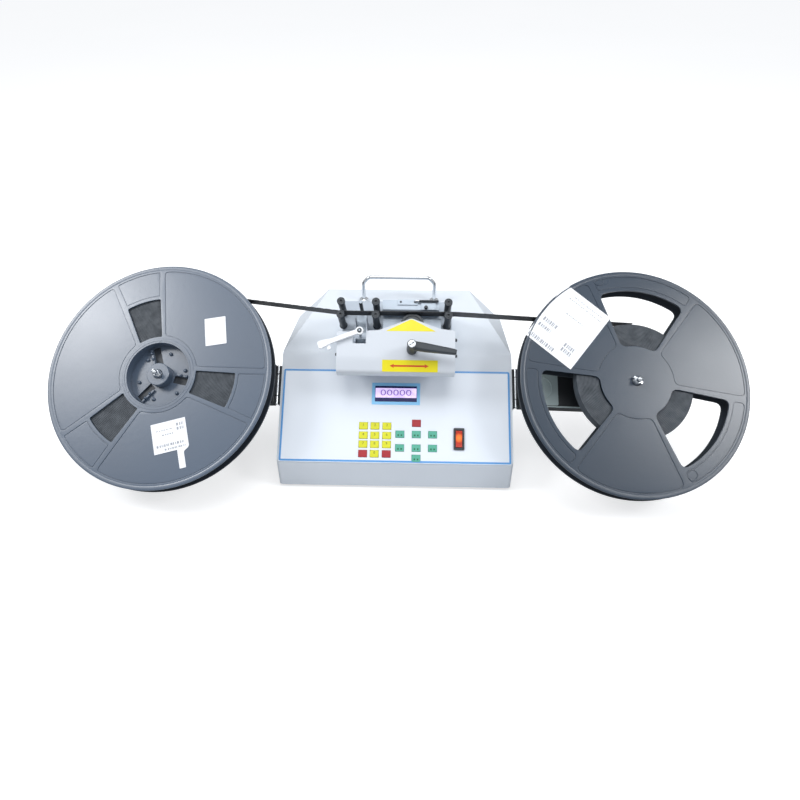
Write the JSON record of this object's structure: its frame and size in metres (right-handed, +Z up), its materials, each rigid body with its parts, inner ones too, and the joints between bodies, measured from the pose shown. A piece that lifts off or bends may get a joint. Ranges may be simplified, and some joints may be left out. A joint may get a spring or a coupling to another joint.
{
  "type": "surface mount component counter",
  "caption": "Sloped desk counter for component tape: keypad, display, head with rollers and drum, and a reel on a folding arm at each side.",
  "frame": {"origin": "centre of the base of the whole object's box, on the surface it stands on", "axes": "+X to the user's right, along both reels; +Y to the back; +Z up"},
  "size_m": [1.01, 0.351, 0.2653],
  "materials": {
    "pale_coat": "satin powder coat",
    "white_coat": "satin powder coat",
    "grey_sheet": "satin",
    "panel_film": "smooth printed film",
    "display_glass": "clear window over a lit display",
    "key_yellow": "satin",
    "key_red": "satin",
    "key_green": "satin",
    "black_plastic": "satin",
    "lit_red": "clear red, lit from inside",
    "chrome": "polished",
    "black_coat": "satin",
    "white_plastic": "satin",
    "reel_left_plastic": "smooth moulded",
    "reel_right_plastic": "smooth moulded",
    "tape_plastic": "embossed film",
    "board_green": "coated board",
    "bright_steel": "machined"
  },
  "bodies": {
    "case": {"case_shell": "pale_coat", "base_plate": "grey_sheet", "power_supply": "bright_steel", "control_panel": "panel_film", "main_board": "board_green", "display_module": "display_glass", "rocker_frame": "black_plastic", "carry_handle": "chrome", "power_inlet": "black_plastic", "head_base": "grey_sheet", "head_cover": "white_coat", "drum_encoder": "bright_steel", "lower_rail": "grey_sheet", "upper_rail": "grey_sheet", "press_bracket": "grey_sheet", "tape_head": "tape_plastic", "hinge_leaf_left": "black_coat", "hinge_leaf_right": "black_coat"},
    "rocker": {"power_rocker": "lit_red"},
    "lever": {"release_lever": "white_plastic"},
    "slide": {"guide_slide": "black_coat"},
    "clamp": {"clamp_lever": "black_plastic"},
    "shoe": {"clamp_shoe": "bright_steel"},
    "drum": {"counting_drum": "black_plastic"},
    "arm_l": {"arm_left": "black_coat", "spindle_left": "bright_steel", "tape_left": "tape_plastic"},
    "arm_r": {"arm_right": "black_coat", "spindle_right": "bright_steel", "tape_right": "tape_plastic"},
    "reel_l": {"reel_left": "reel_left_plastic", "winding_left": "tape_plastic"},
    "reel_r": {"reel_right": "reel_right_plastic", "winding_right": "tape_plastic"},
    "function_key_1_2_cap": {"function_key_1_2": "key_red"},
    "function_key_2_1_cap": {"function_key_2_1": "key_green"},
    "function_key_2_2_cap": {"function_key_2_2": "key_green"},
    "function_key_2_3_cap": {"function_key_2_3": "key_green"},
    "function_key_3_1_cap": {"function_key_3_1": "key_green"},
    "function_key_3_2_cap": {"function_key_3_2": "key_green"},
    "function_key_3_3_cap": {"function_key_3_3": "key_green"},
    "function_key_4_2_cap": {"function_key_4_2": "key_green"},
    "number_key_1_1_cap": {"number_key_1_1": "key_yellow"},
    "number_key_1_2_cap": {"number_key_1_2": "key_yellow"},
    "number_key_1_3_cap": {"number_key_1_3": "key_yellow"},
    "number_key_2_1_cap": {"number_key_2_1": "key_yellow"},
    "number_key_2_2_cap": {"number_key_2_2": "key_yellow"},
    "number_key_2_3_cap": {"number_key_2_3": "key_yellow"},
    "number_key_3_1_cap": {"number_key_3_1": "key_yellow"},
    "number_key_3_2_cap": {"number_key_3_2": "key_yellow"},
    "number_key_3_3_cap": {"number_key_3_3": "key_yellow"},
    "number_key_4_1_cap": {"number_key_4_1": "key_red"},
    "number_key_4_2_cap": {"number_key_4_2": "key_yellow"},
    "number_key_4_3_cap": {"number_key_4_3": "key_red"},
    "roller_left_lower_sleeve": {"roller_left_lower": "black_plastic"},
    "roller_left_upper_sleeve": {"roller_left_upper": "black_plastic"},
    "roller_middle_lower_sleeve": {"roller_middle_lower": "black_plastic"},
    "roller_middle_upper_sleeve": {"roller_middle_upper": "black_plastic"},
    "roller_right_lower_sleeve": {"roller_right_lower": "black_plastic"},
    "roller_right_upper_sleeve": {"roller_right_upper": "black_plastic"}
  },
  "joints": [
    {"name": "function_key_1_2_press", "type": "slide", "parent": "case", "child": "function_key_1_2_cap", "axis": [0, 0.6293, -0.7771], "range_m": [0, 0.0006], "stiffness_N_per_m": 1500, "springref_m": -0.0003},
    {"name": "function_key_2_1_press", "type": "slide", "parent": "case", "child": "function_key_2_1_cap", "axis": [0, 0.6293, -0.7771], "range_m": [0, 0.0006], "stiffness_N_per_m": 1500, "springref_m": -0.0003},
    {"name": "function_key_2_2_press", "type": "slide", "parent": "case", "child": "function_key_2_2_cap", "axis": [0, 0.6293, -0.7771], "range_m": [0, 0.0006], "stiffness_N_per_m": 1500, "springref_m": -0.0003},
    {"name": "function_key_2_3_press", "type": "slide", "parent": "case", "child": "function_key_2_3_cap", "axis": [0, 0.6293, -0.7771], "range_m": [0, 0.0006], "stiffness_N_per_m": 1500, "springref_m": -0.0003},
    {"name": "function_key_3_1_press", "type": "slide", "parent": "case", "child": "function_key_3_1_cap", "axis": [0, 0.6293, -0.7771], "range_m": [0, 0.0006], "stiffness_N_per_m": 1500, "springref_m": -0.0003},
    {"name": "function_key_3_2_press", "type": "slide", "parent": "case", "child": "function_key_3_2_cap", "axis": [0, 0.6293, -0.7771], "range_m": [0, 0.0006], "stiffness_N_per_m": 1500, "springref_m": -0.0003},
    {"name": "function_key_3_3_press", "type": "slide", "parent": "case", "child": "function_key_3_3_cap", "axis": [0, 0.6293, -0.7771], "range_m": [0, 0.0006], "stiffness_N_per_m": 1500, "springref_m": -0.0003},
    {"name": "function_key_4_2_press", "type": "slide", "parent": "case", "child": "function_key_4_2_cap", "axis": [0, 0.6293, -0.7771], "range_m": [0, 0.0006], "stiffness_N_per_m": 1500, "springref_m": -0.0003},
    {"name": "number_key_1_1_press", "type": "slide", "parent": "case", "child": "number_key_1_1_cap", "axis": [0, 0.6293, -0.7771], "range_m": [0, 0.0006], "stiffness_N_per_m": 1500, "springref_m": -0.0003},
    {"name": "number_key_1_2_press", "type": "slide", "parent": "case", "child": "number_key_1_2_cap", "axis": [0, 0.6293, -0.7771], "range_m": [0, 0.0006], "stiffness_N_per_m": 1500, "springref_m": -0.0003},
    {"name": "number_key_1_3_press", "type": "slide", "parent": "case", "child": "number_key_1_3_cap", "axis": [0, 0.6293, -0.7771], "range_m": [0, 0.0006], "stiffness_N_per_m": 1500, "springref_m": -0.0003},
    {"name": "number_key_2_1_press", "type": "slide", "parent": "case", "child": "number_key_2_1_cap", "axis": [0, 0.6293, -0.7771], "range_m": [0, 0.0006], "stiffness_N_per_m": 1500, "springref_m": -0.0003},
    {"name": "number_key_2_2_press", "type": "slide", "parent": "case", "child": "number_key_2_2_cap", "axis": [0, 0.6293, -0.7771], "range_m": [0, 0.0006], "stiffness_N_per_m": 1500, "springref_m": -0.0003},
    {"name": "number_key_2_3_press", "type": "slide", "parent": "case", "child": "number_key_2_3_cap", "axis": [0, 0.6293, -0.7771], "range_m": [0, 0.0006], "stiffness_N_per_m": 1500, "springref_m": -0.0003},
    {"name": "number_key_3_1_press", "type": "slide", "parent": "case", "child": "number_key_3_1_cap", "axis": [0, 0.6293, -0.7771], "range_m": [0, 0.0006], "stiffness_N_per_m": 1500, "springref_m": -0.0003},
    {"name": "number_key_3_2_press", "type": "slide", "parent": "case", "child": "number_key_3_2_cap", "axis": [0, 0.6293, -0.7771], "range_m": [0, 0.0006], "stiffness_N_per_m": 1500, "springref_m": -0.0003},
    {"name": "number_key_3_3_press", "type": "slide", "parent": "case", "child": "number_key_3_3_cap", "axis": [0, 0.6293, -0.7771], "range_m": [0, 0.0006], "stiffness_N_per_m": 1500, "springref_m": -0.0003},
    {"name": "number_key_4_1_press", "type": "slide", "parent": "case", "child": "number_key_4_1_cap", "axis": [0, 0.6293, -0.7771], "range_m": [0, 0.0006], "stiffness_N_per_m": 1500, "springref_m": -0.0003},
    {"name": "number_key_4_2_press", "type": "slide", "parent": "case", "child": "number_key_4_2_cap", "axis": [0, 0.6293, -0.7771], "range_m": [0, 0.0006], "stiffness_N_per_m": 1500, "springref_m": -0.0003},
    {"name": "number_key_4_3_press", "type": "slide", "parent": "case", "child": "number_key_4_3_cap", "axis": [0, 0.6293, -0.7771], "range_m": [0, 0.0006], "stiffness_N_per_m": 1500, "springref_m": -0.0003},
    {"name": "rocker_tilt", "type": "hinge", "parent": "case", "child": "rocker", "pos_m": [0.093, -0.07832, 0.07424], "axis": [1, 0, 0], "range_deg": [-16, 0]},
    {"name": "clamp_turn", "type": "hinge", "parent": "case", "child": "clamp", "pos_m": [0.0226, -0.02991, 0.19592], "axis": [0, -0.6293, 0.7771], "range_deg": [-150, 0]},
    {"name": "shoe_lift", "type": "slide", "parent": "case", "child": "shoe", "axis": [0, -0.6293, 0.7771], "range_m": [-0.0006, 0]},
    {"name": "release_turn", "type": "hinge", "parent": "case", "child": "lever", "pos_m": [-0.0516, -0.00977, 0.213], "axis": [0, -0.6293, 0.7771], "range_deg": [0, 45]},
    {"name": "guide_shift", "type": "slide", "parent": "case", "child": "slide", "axis": [0, 0.7771, 0.6293], "range_m": [-0.0055, 0]},
    {"name": "roller_left_lower_spin", "type": "hinge", "parent": "case", "child": "roller_left_lower_sleeve", "pos_m": [-0.079, 0.03169, 0.19755], "axis": [0, -0.6293, 0.7771], "continuous": true},
    {"name": "roller_left_upper_spin", "type": "hinge", "parent": "case", "child": "roller_left_upper_sleeve", "pos_m": [-0.079, 0.04684, 0.20982], "axis": [0, -0.6293, 0.7771], "continuous": true},
    {"name": "roller_middle_lower_spin", "type": "hinge", "parent": "case", "child": "roller_middle_lower_sleeve", "pos_m": [-0.0294, 0.03169, 0.19755], "axis": [0, -0.6293, 0.7771], "continuous": true},
    {"name": "roller_middle_upper_spin", "type": "hinge", "parent": "case", "child": "roller_middle_upper_sleeve", "pos_m": [-0.0294, 0.04684, 0.20982], "axis": [0, -0.6293, 0.7771], "continuous": true},
    {"name": "roller_right_lower_spin", "type": "hinge", "parent": "case", "child": "roller_right_lower_sleeve", "pos_m": [0.0734, 0.03169, 0.19755], "axis": [0, -0.6293, 0.7771], "continuous": true},
    {"name": "roller_right_upper_spin", "type": "hinge", "parent": "case", "child": "roller_right_upper_sleeve", "pos_m": [0.0734, 0.04684, 0.20982], "axis": [0, -0.6293, 0.7771], "continuous": true},
    {"name": "arm_left_fold", "type": "hinge", "parent": "case", "child": "arm_l", "pos_m": [-0.1778, -0.01385, 0.12014], "axis": [0, 0.7771, 0.6293], "range_deg": [0, 60], "deforming": ["tape_left"]},
    {"name": "arm_right_fold", "type": "hinge", "parent": "case", "child": "arm_r", "pos_m": [0.1778, -0.01385, 0.12014], "axis": [0, -0.7771, -0.6293], "range_deg": [0, 60], "deforming": ["tape_right"]},
    {"name": "reel_left_spin", "type": "hinge", "parent": "arm_l", "child": "reel_l", "pos_m": [-0.33862, -0.03926, 0.15153], "axis": [-0.0906, -0.6267, 0.7739], "continuous": true},
    {"name": "reel_right_spin", "type": "hinge", "parent": "arm_r", "child": "reel_r", "pos_m": [0.33862, -0.03926, 0.15153], "axis": [0.0906, -0.6267, 0.7739], "continuous": true},
    {"name": "drum_spin", "type": "hinge", "parent": "case", "child": "drum", "pos_m": [0.0228, 0.01573, 0.202], "axis": [0, -0.6293, 0.7771], "continuous": true}
  ],
  "couplings": [
    {"joint": "reel_right_spin", "follows": "reel_left_spin", "ratio": 1.4884},
    {"joint": "drum_spin", "follows": "reel_left_spin", "ratio": 7.4419},
    {"joint": "shoe_lift", "follows": "clamp_turn", "m_per_rad": 0.0002},
    {"joint": "guide_shift", "follows": "release_turn", "m_per_rad": -0.006875}
  ]
}
